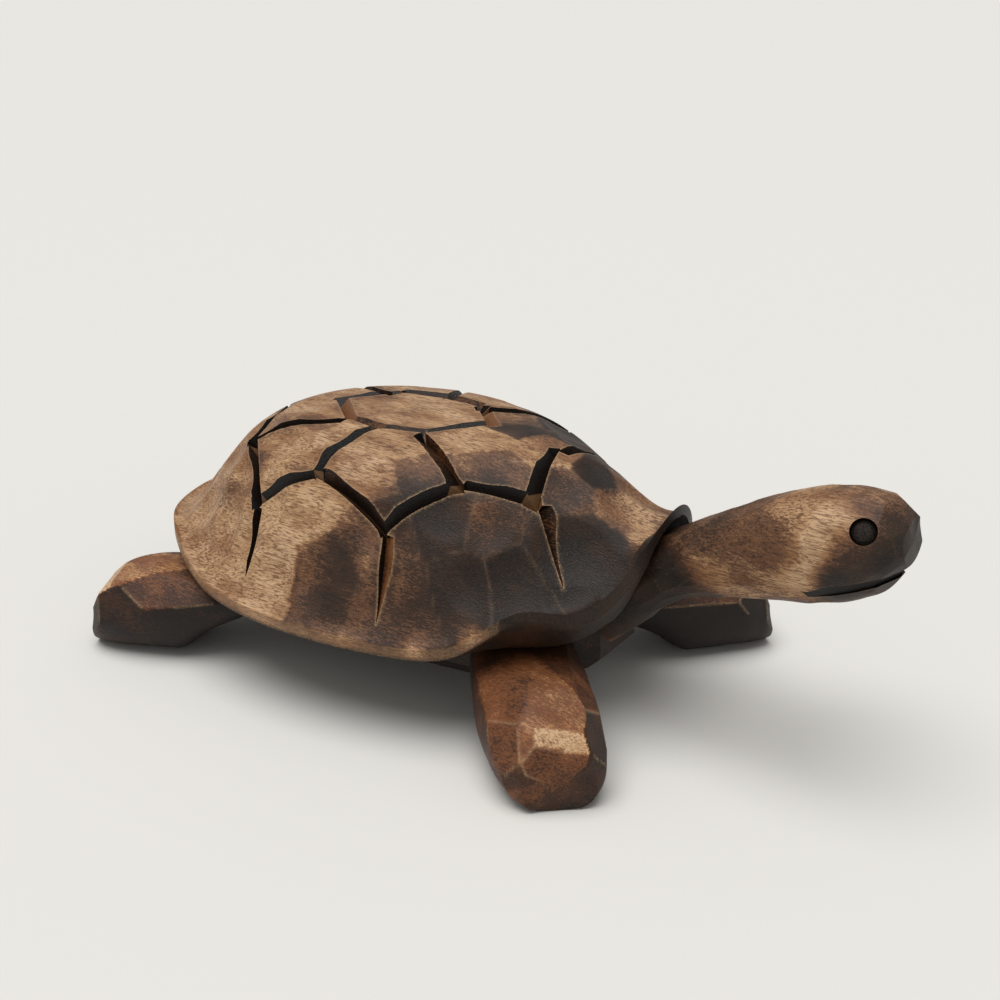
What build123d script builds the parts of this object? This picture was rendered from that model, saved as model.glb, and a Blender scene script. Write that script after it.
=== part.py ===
from build123d import *
import math
import os

# A carved wooden turtle: x runs to the nose, y to its left, z up from the soles.
# All sizes are in millimetres and all angles in degrees.
# The pieces are laid out from the middle of the shell and moved to the common origin at the end.

# Shell: plan and heights
shell_front = 68.5
shell_rear = 59.0
shell_half_width = 45.0
seat_height = 19.2
shell_top = 54.6
brim_edge = 2.4
shell_tilt_share = 0.05

# Shell: the dome falls as (1 - s^fullness)^flare and the brim turns up as s^upturn,
# where s is 0 in the middle and 1 at the rim
dome_fullness = 5.0
brim_flare = 2.1
brim_upturn = 11.0
arch_upturn = 10.0

# Shell: waves of the rim over the neck, the legs and the tail
neck_arch_rise = 26.0
neck_arch_angle = 0.0
neck_arch_spread = 17.0
neck_hollow_share = 0.76
front_leg_arch_rise = 9.0
front_leg_arch_angle = 31.0
front_leg_arch_spread = 10.0
front_leg_hollow_share = 0.2
rear_leg_arch_rise = 4.6
rear_leg_arch_angle = 148.0
rear_leg_arch_spread = 17.5
rear_leg_hollow_share = 0.45
tail_arch_rise = 3.4
tail_arch_angle = 180.0
tail_arch_spread = 25.0
tail_hollow_share = 0.45
collar_extra = 3.0

# Shell: knife cuts between the scutes
groove_depth = 1.8
groove_end_depth = 0.0
groove_half_angle = 41.0
groove_tool_height = 6.0
groove_hip_share = 0.58

# Belly block
belly_thickness = 11.2
belly_chamfer = 4.0

# Legs
leg_width = 21.0
leg_clearance = 0.3
front_sole_x = 61.7
front_sole_y = 37.0
front_leg_angle = 48.0
front_leg_reach = 26.0
front_toe_reach = 10.5
rear_sole_x = 48.3
rear_sole_y = 34.5
rear_leg_angle = 152.0
rear_leg_reach = 24.0
rear_toe_reach = 12.5

# Neck and head
neck_seat_x = 55.7
neck_root_rise = 5.3
neck_reach = 61.8
head_rise = 28.1
head_height = 24.0
head_width = 20.0
head_sides = 24
neck_gap = 0.9
mouth_gape = 1.1
mouth_depth = 1.6
mouth_length = 26.0
mouth_slope = 22.0
mouth_rise_share = 0.758
throat_width = 7.0

# Eyes
eye_along_share = 0.882
eye_rise_share = 1.096
eye_out_share = 0.37
eye_radius = 2.7
eye_gap = 0.1
eye_seat_depth = 2.2
eye_sink = 0.9
eye_crown = 0.4
eye_turn = 16.0
eye_lift = 28.0

# Tail
tail_tip_inset = 1.0
tail_root_width = 13.0
tail_root_height = 9.5
tail_depth = 5.2
tail_drop = 6.0
tail_sides = 8

# Dowels
dowel_gap = 0.1
shell_dowel_diameter = 6.0
shell_dowel_length = 14.0
shell_dowel_pitch = 30.0
neck_dowel_diameter = 5.0
neck_dowel_length = 24.0
neck_dowel_lift = 3.1
neck_dowel_slope = 15.0
leg_dowel_diameter = 5.0
leg_dowel_length = 18.0
leg_dowel_share = 0.73
tail_dowel_diameter = 4.0
tail_dowel_length = 12.0

# Working values
surface_stations = 30
end_crowding = 0.6
surface_margin = 6.0
slope_step = 0.05
seam_tolerance = 0.001
sides = (-1, 1)

# Sizes that follow from the ones above
shell_length = shell_front + shell_rear
belly_bottom = seat_height - belly_thickness
leg_height = seat_height - leg_clearance
neck_root_height = seat_height + neck_root_rise
tail_height = seat_height - tail_depth

# Corners of the scutes on one half: shares of the shell's length and of its half width
scute_shares = {
    "spine_rear": (-0.270, 0.0),
    "crown_rear": (-0.155, 0.0),
    "crown_front": (0.174, 0.0),
    "brow_spine": (0.318, 0.0),
    "crown_corner_rear": (-0.069, 0.222),
    "crown_side": (0.015, 0.267),
    "crown_corner_front": (0.100, 0.218),
    "brow_corner": (0.347, 0.322),
    "rear_upper": (-0.249, 0.378),
    "rear_lower": (-0.139, 0.711),
    "flank_upper": (-0.016, 0.596),
    "flank_lower": (0.137, 0.711),
    "shoulder": (0.237, 0.456),
    "rear_rim": (-0.108, 0.890),
    "flank_rim": (0.169, 0.900),
    "brow_rim": (0.424, 0.440),
}

# Straight knife cuts that run at full depth from corner to corner
scute_cuts = [
    ("spine_rear", "rear_upper"),
    ("crown_rear", "crown_corner_rear"),
    ("crown_corner_rear", "crown_side"),
    ("crown_side", "crown_corner_front"),
    ("crown_corner_front", "crown_front"),
    ("crown_corner_rear", "rear_upper"),
    ("rear_upper", "rear_lower"),
    ("rear_lower", "flank_upper"),
    ("flank_upper", "crown_side"),
    ("flank_upper", "flank_lower"),
    ("flank_lower", "shoulder"),
    ("shoulder", "crown_corner_front"),
    ("shoulder", "brow_corner"),
    ("brow_corner", "brow_spine"),
]

# Cuts that run out towards the rim
rim_cuts = [
    ("rear_lower", "rear_rim"),
    ("flank_lower", "flank_rim"),
    ("brow_corner", "brow_rim"),
]

# Leg sections from the root to the toe: shares of the length, the width and the height
leg_section_shares = [
    (0.00, 0.92, 0.50, 1.00),
    (0.24, 0.98, 0.26, 1.00),
    (0.40, 1.00, 0.00, 1.02),
    (0.72, 1.00, 0.00, 0.84),
    (0.92, 0.88, 0.00, 0.54),
    (1.00, 0.64, 0.00, 0.26),
]

# Outline of one leg section: shares of its half width and of its own height
leg_outline_shares = [
    (0.90, 0.0),
    (1.00, 0.20),
    (0.96, 0.62),
    (0.58, 1.0),
]

# Tail sections: shares of the length, the drop and the root's size
tail_section_shares = [
    (0.00, 0.00, 1.00),
    (0.40, 0.22, 0.86),
    (0.78, 0.64, 0.58),
    (1.00, 1.00, 0.26),
]

# Neck and head sections: shares of the reach, the rise, the head's height and its width
head_section_shares = [
    (0.000, 0.000, 0.875, 0.95),
    (0.080, 0.135, 0.815, 0.90),
    (0.160, 0.270, 0.755, 0.85),
    (0.240, 0.400, 0.700, 0.80),
    (0.434, 0.605, 0.825, 0.84),
    (0.595, 0.737, 0.940, 0.93),
    (0.757, 0.836, 1.000, 1.00),
    (0.879, 0.904, 0.883, 0.94),
    (0.951, 0.950, 0.717, 0.78),
    (1.000, 1.000, 0.400, 0.50),
]

rim_waves = [
    (neck_arch_angle, neck_arch_spread, neck_arch_rise, neck_hollow_share),
    (front_leg_arch_angle, front_leg_arch_spread, front_leg_arch_rise, front_leg_hollow_share),
    (rear_leg_arch_angle, rear_leg_arch_spread, rear_leg_arch_rise, rear_leg_hollow_share),
    (tail_arch_angle, tail_arch_spread, tail_arch_rise, tail_hollow_share),
]


def rim_share(x, y):
    """Distance from the middle of the shell as a share of the way to the rim."""
    half_length = shell_front if x > 0 else shell_rear
    return math.hypot(x / half_length, y / shell_half_width)


def rim_lift(x, y):
    """Rise of the rim above the seat at this bearing, and of the hollow inside the brim."""
    bearing = abs(math.degrees(math.atan2(y, x)))
    rim = 0.0
    hollow = 0.0
    for angle, spread, rise, hollow_share in rim_waves:
        wave = rise * math.exp(-((bearing - angle) / spread) ** 2)
        rim += wave
        hollow += hollow_share * wave
    return rim, hollow


def shell_height(x, y):
    """Height of the shell's outer surface."""
    share = rim_share(x, y)
    rim, hollow = rim_lift(x, y)
    foot = seat_height + brim_edge + hollow
    dome = max(0.0, 1 - share**dome_fullness) ** brim_flare
    crown = (shell_top - foot + shell_tilt_share * x) * dome
    return foot + crown + (rim - hollow) * upturn(share, brim_upturn)


def arch_height(x, y):
    """Height of the hollowed underside: below the seat inside, at the rim's lower edge outside."""
    rim, hollow = rim_lift(x, y)
    bearing = math.degrees(math.atan2(y, x))
    collar = collar_extra * math.exp(-((bearing - neck_arch_angle) / neck_arch_spread) ** 2)
    start = seat_height - brim_edge
    return start + (rim + brim_edge - collar) * upturn(rim_share(x, y), arch_upturn)


def upturn(share, power):
    """A power of the share up to the rim, and its straight continuation outside."""
    return share**power if share < 1 else 1 + power * (share - 1)


def solid_of(outlines):
    """A solid closed by flat facets."""
    return Solid(Shell([make_face(Polyline(*outline, close=True)) for outline in outlines]))


def faceted(sections):
    """A solid in flat facets through outlines that have the same number of corners."""
    facets = [sections[0], sections[-1]]
    for near, far in zip(sections, sections[1:]):
        for k in range(len(near)):
            facets.append((near[k - 1], near[k], far[k]))
            facets.append((near[k - 1], far[k], far[k - 1]))
    return solid_of(facets)


def block_under(height):
    """The solid under a height formula, in flat facets as a gouge leaves them, wider than the shell."""
    half_width = shell_half_width + surface_margin
    steps = [i / surface_stations for i in range(surface_stations + 1)]
    stations = [step - end_crowding * math.sin(2 * math.pi * step) / (2 * math.pi) for step in steps]
    sections = []
    for station in stations:
        x = station * (shell_length + 2 * surface_margin) - shell_rear - surface_margin
        ys = [(2 * share - 1) * half_width for share in stations]
        foot = [Vector(x, half_width, 0), Vector(x, -half_width, 0)]
        sections.append(foot + [Vector(x, y, height(x, y)) for y in ys])
    return faceted(sections)


def shell_plan():
    """Plan of the shell: half an ellipse to the front and half a shorter one to the rear."""
    front = EllipticalCenterArc((0, 0), shell_front, shell_half_width, start_angle=-90, arc_size=180)
    rear = EllipticalCenterArc((0, 0), shell_rear, shell_half_width, start_angle=90, arc_size=180)
    return make_face([front, rear])


def shell_point(x, y):
    return Vector(x, y, shell_height(x, y))


def shell_normal(x, y):
    slope_x = (shell_height(x + slope_step, y) - shell_height(x - slope_step, y)) / (2 * slope_step)
    slope_y = (shell_height(x, y + slope_step) - shell_height(x, y - slope_step)) / (2 * slope_step)
    return Vector(-slope_x, -slope_y, 1).normalized()


def knife_cut(start, end, start_depth, end_depth):
    """A straight V-shaped cut between two corners, with sloping ends that mitre with the next cut."""
    (x1, y1), (x2, y2) = start, end
    near = shell_point(x1, y1) - shell_normal(x1, y1) * start_depth
    far = shell_point(x2, y2) - shell_normal(x2, y2) * end_depth
    ahead = (far - near).normalized()
    across = (shell_normal(x1, y1) + shell_normal(x2, y2)).cross(ahead).normalized()
    lift = ahead.cross(across) * groove_tool_height
    half_width = groove_tool_height * math.tan(math.radians(groove_half_angle))
    side = across * half_width
    hip = ahead * (half_width * groove_hip_share)
    near_left, near_right = near + lift - hip + side, near + lift - hip - side
    far_left, far_right = far + lift + hip + side, far + lift + hip - side
    return solid_of([
        (near, near_left, near_right),
        (far, far_right, far_left),
        (near, far, far_left, near_left),
        (near, near_right, far_right, far),
        (near_left, far_left, far_right, near_right),
    ])


def scute_grooves():
    """All the knife cuts of the right half, joined to one tool."""
    corners = {}
    for name, (along_share, across_share) in scute_shares.items():
        corners[name] = (along_share * shell_length, -across_share * shell_half_width)
    cuts = []
    for first, second in scute_cuts:
        cuts.append(knife_cut(corners[first], corners[second], groove_depth, groove_depth))
    for first, second in rim_cuts:
        cuts.append(knife_cut(corners[first], corners[second], groove_depth, groove_end_depth))
    return Part() + cuts


def dowel_solid(middle, direction, diameter, length):
    plane = Plane(middle - direction * (length / 2), z_dir=direction)
    return extrude(plane * Circle(diameter / 2), amount=length)


def dowel_bore(middle, direction, diameter, length):
    return dowel_solid(middle, direction, diameter + 2 * dowel_gap, length + 2 * dowel_gap)


def neck_slot():
    """Straight oval slot in the front of the shell that takes the neck."""
    (_, _, height_share, width_share), (along_share, rise_share, _, _) = head_section_shares[:2]
    plane = Plane((neck_seat_x, 0, neck_root_height), x_dir=(0, 1, 0), z_dir=(1, 0, 0))
    oval = Ellipse(width_share * head_width / 2 + neck_gap, height_share * head_height / 2 + neck_gap)
    ahead = Vector(along_share * neck_reach, 0, rise_share * head_rise)
    return extrude(plane * oval, amount=neck_reach, dir=ahead.normalized())


def head_body(gap):
    """Neck and head through upright ovals, in narrow knife facets, with an even gap added all round."""
    sections = []
    for along_share, rise_share, height_share, width_share in head_section_shares:
        middle = Vector(neck_seat_x + along_share * neck_reach, 0, neck_root_height + rise_share * head_rise)
        half_width = width_share * head_width / 2 + gap
        half_height = height_share * head_height / 2 + gap
        turns = [2 * math.pi * corner / head_sides for corner in range(head_sides)]
        oval = [Vector(0, half_width * math.cos(turn), half_height * math.sin(turn)) for turn in turns]
        sections.append([middle + point for point in oval])
    return faceted(sections)


class Leg:
    """One leg in plan: its axis, its root on the belly block and its toe, on the right side."""

    def __init__(self, sole_x, sole_y, angle, reach, toe_reach):
        self.ahead = Vector(math.cos(math.radians(angle)), -math.sin(math.radians(angle)), 0)
        self.across = Vector(0, 0, 1).cross(self.ahead)
        self.root = Vector(sole_x, -sole_y, 0) - self.ahead * reach
        self.length = reach + toe_reach

    def section(self, along_share, width_share, low_share, top_share):
        middle = self.root + self.ahead * (along_share * self.length)
        half_width = width_share * leg_width / 2
        low = low_share * leg_height
        height = top_share * leg_height - low
        side = [(share * half_width, low + rise * height) for share, rise in leg_outline_shares]
        other_side = [(-half, rise) for half, rise in reversed(side)]
        return [middle + self.across * half + Vector(0, 0, rise) for half, rise in side + other_side]

    def solid(self):
        return faceted([self.section(*shares) for shares in leg_section_shares])

    def dowel(self, maker):
        middle = self.root + Vector(0, 0, leg_dowel_share * leg_height)
        return maker(middle, self.ahead, leg_dowel_diameter, leg_dowel_length)

    def seat_corner(self, other_point, other_normal):
        """Where the line of this leg's seat meets another line of the belly's plan."""
        along = (other_point - self.root).dot(other_normal) / self.across.dot(other_normal)
        return self.root + self.across * along


front_leg = Leg(front_sole_x, front_sole_y, front_leg_angle, front_leg_reach, front_toe_reach)
rear_leg = Leg(-rear_sole_x, rear_sole_y, rear_leg_angle, rear_leg_reach, rear_toe_reach)


def make_carapace(bores):
    """Domed shell with its wavy brim, neck slot, scute grooves and dowel bores."""
    column = Pos(0, 0, seat_height) * extrude(shell_plan(), amount=2 * shell_top)
    right_side = Pos(0, -shell_half_width, 0) * Box(2 * shell_length, 2 * shell_half_width, 4 * shell_top)
    half = (column & right_side & block_under(shell_height)) - block_under(arch_height)
    half = half - neck_slot() - scute_grooves()
    skin = [face for face in half.faces() if abs(face.center().Y) > seam_tolerance]
    whole = Solid(Shell(skin + [mirror(face, about=Plane.XZ) for face in skin]))
    return whole - bores


def make_belly(bores):
    """Flat-topped block under the shell, with a flat seat for the neck, each leg and the tail."""
    neck_point = Vector(neck_seat_x, 0, 0)
    forward = Vector(1, 0, 0)
    inner_front = front_leg.seat_corner(neck_point, forward)
    outer_front = front_leg.root - front_leg.across * (leg_width / 2)
    outer_rear = rear_leg.root + rear_leg.across * (leg_width / 2)
    inner_rear = rear_leg.seat_corner(Vector(tail_seat_x, 0, 0), forward)
    right = [inner_front, outer_front, outer_rear, inner_rear]
    left = [Vector(corner.X, -corner.Y, 0) for corner in reversed(right)]
    plan = make_face(Polyline([(corner.X, corner.Y) for corner in right + left], close=True))
    block = Pos(0, 0, belly_bottom) * extrude(plan, amount=seat_height - belly_bottom)
    block = chamfer(block.faces().sort_by(Axis.Z)[0].edges(), belly_chamfer)
    return block - bores


def make_head(neck_bore):
    """Neck and head with the mouth cut round the muzzle and two drilled eye sockets."""
    body = head_body(0.0)
    muzzle = Vector(neck_seat_x + neck_reach, 0, neck_root_height + mouth_rise_share * head_rise)
    mouth_plane = Plane(muzzle).rotated((0, -mouth_slope, 0))
    sheet = mouth_plane * Box(2 * mouth_length, 2 * head_width, mouth_gape)
    core = head_body(-mouth_depth)
    throat = mouth_plane * Pos(-mouth_length, 0, 0) * Box(mouth_length, throat_width, head_height)
    body -= sheet - core - throat
    sockets = [eye_plane(side) * Cylinder(eye_radius + eye_gap, 2 * eye_seat_depth) for side in sides]
    return body - sockets - [neck_bore]


def eye_plane(side):
    """Plane of an eye's rim, facing out of the head; side is -1 on the right and 1 on the left."""
    turn = math.radians(eye_turn)
    lift = math.radians(eye_lift)
    out = Vector(math.sin(turn) * math.cos(lift), side * math.cos(turn) * math.cos(lift), math.sin(lift))
    x = neck_seat_x + eye_along_share * neck_reach
    z = neck_root_height + eye_rise_share * head_rise
    return Plane((x, side * eye_out_share * head_width, z), z_dir=out)


def make_eye(side):
    """Turned plug sunk in its socket: a short round shank with a low domed crown."""
    shank_length = eye_seat_depth - eye_sink
    shank = Pos(0, 0, -shank_length / 2) * Cylinder(eye_radius, shank_length)
    ball_radius = (eye_radius**2 + eye_crown**2) / (2 * eye_crown)
    ball = Pos(0, 0, eye_crown - ball_radius) * Sphere(ball_radius)
    crown = ball & (Pos(0, 0, eye_crown / 2) * Cylinder(eye_radius, eye_crown))
    return eye_plane(side) * Pos(0, 0, -eye_sink) * (shank + crown)


def tail_section(along_share, drop_share, size_share):
    """Eight-sided outline across the tail."""
    x = tail_seat_x - along_share * tail_length
    z = tail_height - drop_share * tail_drop
    outline = []
    for corner in range(tail_sides):
        turn = 2 * math.pi * corner / tail_sides
        y = size_share * tail_root_width / 2 * math.cos(turn)
        outline.append(Vector(x, y, z + size_share * tail_root_height / 2 * math.sin(turn)))
    return outline


def make_tail(tail_bore):
    """Short tail that tapers and droops under the rear brim."""
    return faceted([tail_section(*shares) for shares in tail_section_shares]) - tail_bore


def both_sides(piece):
    return {-1: piece, 1: mirror(piece, about=Plane.XZ)}


inner_rear_root = rear_leg.root - rear_leg.across * (leg_width / 2)
tail_reach = inner_rear_root.Y + tail_root_width / 2
tail_seat_x = inner_rear_root.X + tail_reach * rear_leg.across.X / abs(rear_leg.across.Y)
tail_length = tail_seat_x + shell_rear - tail_tip_inset

slope = math.radians(neck_dowel_slope)
neck_dowel_axis = Vector(math.cos(slope), 0, math.sin(slope))
neck_dowel_middle = Vector(neck_seat_x, 0, neck_root_height + neck_dowel_lift)
neck_sizes = (neck_dowel_middle, neck_dowel_axis, neck_dowel_diameter, neck_dowel_length)
tail_middle = Vector(tail_seat_x, 0, tail_height)
tail_sizes = (tail_middle, Vector(-1, 0, 0), tail_dowel_diameter, tail_dowel_length)
shell_middles = [Vector(side * shell_dowel_pitch / 2, 0, seat_height) for side in sides]
shell_sizes = [(middle, Vector(0, 0, 1), shell_dowel_diameter, shell_dowel_length) for middle in shell_middles]

neck_bore = dowel_bore(*neck_sizes)
tail_bore = dowel_bore(*tail_sizes)
shell_bores = [dowel_bore(*sizes) for sizes in shell_sizes]
front_leg_bores = both_sides(front_leg.dowel(dowel_bore))
rear_leg_bores = both_sides(rear_leg.dowel(dowel_bore))
leg_bores = [*front_leg_bores.values(), *rear_leg_bores.values()]

front_legs = both_sides(front_leg.solid() - front_leg_bores[-1])
rear_legs = both_sides(rear_leg.solid() - rear_leg_bores[-1])
leg_dowels = [*both_sides(front_leg.dowel(dowel_solid)).values(),
              *both_sides(rear_leg.dowel(dowel_solid)).values()]

pieces = {
    "carapace": make_carapace([neck_bore, *shell_bores]),
    "belly_block": make_belly([tail_bore, *shell_bores, *leg_bores]),
    "head_and_neck": make_head(neck_bore),
    "front_right_leg": front_legs[-1],
    "front_left_leg": front_legs[1],
    "rear_right_leg": rear_legs[-1],
    "rear_left_leg": rear_legs[1],
    "tail": make_tail(tail_bore),
    "right_eye": make_eye(-1),
    "left_eye": make_eye(1),
    "neck_dowel": dowel_solid(*neck_sizes),
    "tail_dowel": dowel_solid(*tail_sizes),
    "shell_dowels": Compound([dowel_solid(*sizes) for sizes in shell_sizes]),
    "leg_dowels": Compound(leg_dowels),
}

# The origin is on the floor, under the middle of the whole figure
box = Compound(list(pieces.values())).bounding_box()
to_origin = Pos(-box.center().X, -box.center().Y, -box.min.Z)

os.makedirs("parts", exist_ok=True)
for name, piece in pieces.items():
    export_step(to_origin * piece, f"parts/{name}.step")
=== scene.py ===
# %% [markdown]
# A carved wooden turtle, dressed in Blender.
# The CAD model gives the sizes and the places of all pieces. It is loaded first and never moved.
# Each visible piece is then carved again here as a dense mesh, because the gouge marks, the knife
# cuts and the scorched, brushed wood are what the eye sees.

# %% Load the frame
import math

import bmesh
import bpy
import numpy as np
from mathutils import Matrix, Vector
from mathutils.bvhtree import BVHTree
from mathutils.kdtree import KDTree


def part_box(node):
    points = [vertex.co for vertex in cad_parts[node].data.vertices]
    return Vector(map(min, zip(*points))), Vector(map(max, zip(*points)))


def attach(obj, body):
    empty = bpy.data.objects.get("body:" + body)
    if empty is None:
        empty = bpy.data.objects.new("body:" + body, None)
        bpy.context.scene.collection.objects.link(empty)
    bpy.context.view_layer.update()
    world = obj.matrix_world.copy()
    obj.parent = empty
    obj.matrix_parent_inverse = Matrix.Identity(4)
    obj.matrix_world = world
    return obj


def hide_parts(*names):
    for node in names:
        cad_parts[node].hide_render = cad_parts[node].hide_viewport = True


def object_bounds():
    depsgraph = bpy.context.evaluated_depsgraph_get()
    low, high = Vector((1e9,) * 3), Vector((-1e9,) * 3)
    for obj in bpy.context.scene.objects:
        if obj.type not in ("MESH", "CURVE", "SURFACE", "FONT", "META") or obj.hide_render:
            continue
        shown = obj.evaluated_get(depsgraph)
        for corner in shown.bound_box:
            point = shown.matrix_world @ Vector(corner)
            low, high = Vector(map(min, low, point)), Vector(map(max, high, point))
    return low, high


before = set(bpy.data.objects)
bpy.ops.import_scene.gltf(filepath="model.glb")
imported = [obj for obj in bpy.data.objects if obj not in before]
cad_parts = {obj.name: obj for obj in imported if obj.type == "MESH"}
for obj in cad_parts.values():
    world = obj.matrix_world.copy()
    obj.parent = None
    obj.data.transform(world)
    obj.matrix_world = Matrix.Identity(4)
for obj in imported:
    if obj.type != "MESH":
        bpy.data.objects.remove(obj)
cad_box = [list(corner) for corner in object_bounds()]
print("nodes:", sorted(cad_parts))

# %% [markdown]
# The shell's formula is written in millimetres around the middle of the shell.
# The frame has its origin under the middle of the whole figure, so one shift turns the one into the other.

# %% From millimetres around the shell to the frame
MM = 0.001
SHELL_FRONT, SHELL_REAR, SHELL_HALF_WIDTH = 68.5, 59.0, 45.0
SHELL_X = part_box("carapace")[0].x / MM + SHELL_REAR


def to_frame(points):
    """Millimetres around the shell's middle to metres in the frame."""
    return (np.asarray(points, float) + [SHELL_X, 0, 0]) * MM


# the whole figure's box less a hair, which no carved piece may leave
HAIR = 0.01
BOX_LOW, BOX_HIGH = np.array(cad_box) / MM - [SHELL_X, 0, 0] + [[HAIR] * 3, [-HAIR] * 3]
BOX_LOW[2] = 0

print("middle of the shell at x =", round(SHELL_X, 2), "mm")

# %% [markdown]
# Every carved piece is a skin over rings of points: the shell has rings around its crown, a leg and
# the neck have rings across their length. One function joins the rings with four-sided faces and
# closes both ends with a fan, so no seam or pole stays open.


# %% A skin over rings
def skin(name, rings, start, end):
    """An object with a closed skin over rings in millimetres and a middle point at each end."""
    rings = np.asarray(rings, float)
    count, around = rings.shape[:2]
    points = np.vstack([rings.reshape(-1, 3), [start], [end]])
    here = np.arange(around)
    after = np.roll(here, -1)
    faces = []
    for k in range(count - 1):
        low, high = k * around, (k + 1) * around
        faces += np.stack([low + here, low + after, high + after, high + here], 1).tolist()
    first, last = count * around, count * around + 1
    faces += [(first, int(b), int(a)) for a, b in zip(here, after)]
    tail = (count - 1) * around
    faces += [(last, int(tail + a), int(tail + b)) for a, b in zip(here, after)]
    mesh = bpy.data.meshes.new(name)
    mesh.from_pydata(to_frame(points).tolist(), [], faces)
    piece = bpy.data.objects.new(name, mesh)
    bpy.context.scene.collection.objects.link(piece)
    outwards(mesh)
    return piece


def outwards(mesh):
    """Turns all faces outwards and shades them smooth."""
    work = bmesh.new()
    work.from_mesh(mesh)
    bmesh.ops.recalc_face_normals(work, faces=work.faces)
    work.to_mesh(mesh)
    work.free()
    mesh.shade_smooth()


def points_of(piece):
    """The piece's points in millimetres around the shell's middle."""
    flat = np.empty(len(piece.data.vertices) * 3)
    piece.data.vertices.foreach_get("co", flat)
    return flat.reshape(-1, 3) / MM - [SHELL_X, 0, 0]


def put_points(piece, points):
    piece.data.vertices.foreach_set("co", to_frame(points).ravel())
    piece.data.update()


def put_attribute(piece, name, values):
    """A number for each point of the mesh, which the wood material reads by name."""
    attribute = piece.data.attributes.new(name, "FLOAT", "POINT")
    attribute.data.foreach_set("value", np.asarray(values, np.float32))


# %% [markdown]
# A gouge leaves hollows with ridges between them, and a knife leaves flats.
# Both could be painted as bump, but the ridges catch the light at the outline too, so the points
# themselves are moved: out of a large ball for a gouge hollow, or in behind a plane for a knife flat.
# The deepest tool at each point wins. Where two tools go equally deep there is a ridge, and the
# distance to it is kept, because ridges are rubbed pale.


# %% Gouge and knife
TINY = 1e-6
# a point this far behind every flat is bare wood, and no ridge is near it
BARE_FROM, BARE_AWAY = 0.02, 20


def scoop(points, centres, radii, rounds=3):
    """Pushes points out of balls; returns the points, each one's ball and how far each is from a ridge."""
    points = points.copy()
    rows = np.arange(len(points))
    for _ in range(rounds):
        depth = radii - np.linalg.norm(points[:, None] - centres[None], axis=2)
        best = depth.argmax(1)
        away = points - centres[best]
        length = np.linalg.norm(away, axis=1)
        push = np.maximum(0, depth[rows, best]) / np.maximum(length, TINY)
        points += away * push[:, None]
    depth = radii - np.linalg.norm(points[:, None] - centres[None], axis=2)
    hollow = depth.argmax(1)
    depth.sort(1)
    return points, hollow, depth[:, -1] - depth[:, -2]


def pare(points, cores, normals, levels):
    """Draws points in towards their cores until they lie behind every plane.

    Returns the points, the plane that each lies on, and how far each is from a ridge between two planes.
    """
    arms = points - cores
    reach = np.maximum(arms @ normals.T, TINY)
    share = ((levels - cores @ normals.T) / reach).min(1)
    pared = cores + arms * np.clip(share, 0, 1)[:, None]
    proud = pared @ normals.T - levels
    flat = proud.argmax(1)
    proud.sort(1)
    bare = np.maximum(0, -proud[:, -1] - BARE_FROM)
    return pared, flat, proud[:, -1] - proud[:, -2] + BARE_AWAY * bare


# %% [markdown]
# The shell is a dome that falls to a thin brim. It could be sculpted by hand, but it follows a rule: s is 0
# at the crown and 1 at the rim, the dome falls as a power of s, and the brim turns up in waves over the neck,
# the legs and the tail. The same rule and numbers made the CAD solid, so the dressed shell sits where it is.

# %% The shell's rule
SEAT, TOP, EDGE, TILT = 19.2, 54.6, 2.4, 0.05
FULLNESS, FLARE, BRIM_POWER, ARCH_POWER, COLLAR = 5.0, 2.1, 11.0, 10.0, 3.0
# bearing, spread, rise of the rim, share of the rise that lifts the hollow inside the brim
RIM_WAVES = [(0, 17, 26, 0.76), (31, 10, 9, 0.2), (148, 17.5, 4.6, 0.45), (180, 25, 3.4, 0.45)]


def rim_share(x, y):
    return np.hypot(x / np.where(x > 0, SHELL_FRONT, SHELL_REAR), y / SHELL_HALF_WIDTH)


def rim_lift(x, y):
    bearing = np.abs(np.degrees(np.arctan2(y, x)))
    waves = [(rise * np.exp(-((bearing - at) / spread) ** 2), share) for at, spread, rise, share in RIM_WAVES]
    collar = COLLAR * np.exp(-((bearing - RIM_WAVES[0][0]) / RIM_WAVES[0][1]) ** 2)
    return sum(wave for wave, _ in waves), sum(wave * share for wave, share in waves), collar


def shell_height(x, y):
    s = rim_share(x, y)
    rim, hollow, _ = rim_lift(x, y)
    foot = SEAT + EDGE + hollow
    dome = np.maximum(0, 1 - s**FULLNESS) ** FLARE
    return foot + (TOP - foot + TILT * x) * dome + (rim - hollow) * s**BRIM_POWER


def under_height(x, y):
    s = rim_share(x, y)
    rim, _, collar = rim_lift(x, y)
    return np.maximum(SEAT, SEAT - EDGE + (rim + EDGE - collar) * s**ARCH_POWER)


def shell_point(x, y):
    return np.stack([x, y, shell_height(x, y)], -1)


def shell_normal(x, y, step=0.05):
    slope_x = (shell_height(x + step, y) - shell_height(x - step, y)) / (2 * step)
    slope_y = (shell_height(x, y + step) - shell_height(x, y - step)) / (2 * step)
    normal = np.stack([-slope_x, -slope_y, np.ones_like(slope_x)], -1)
    return normal / np.linalg.norm(normal, axis=-1, keepdims=True)


print("crown of the shell at z =", round(float(shell_height(np.float64(0), np.float64(0))), 1), "mm")

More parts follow.
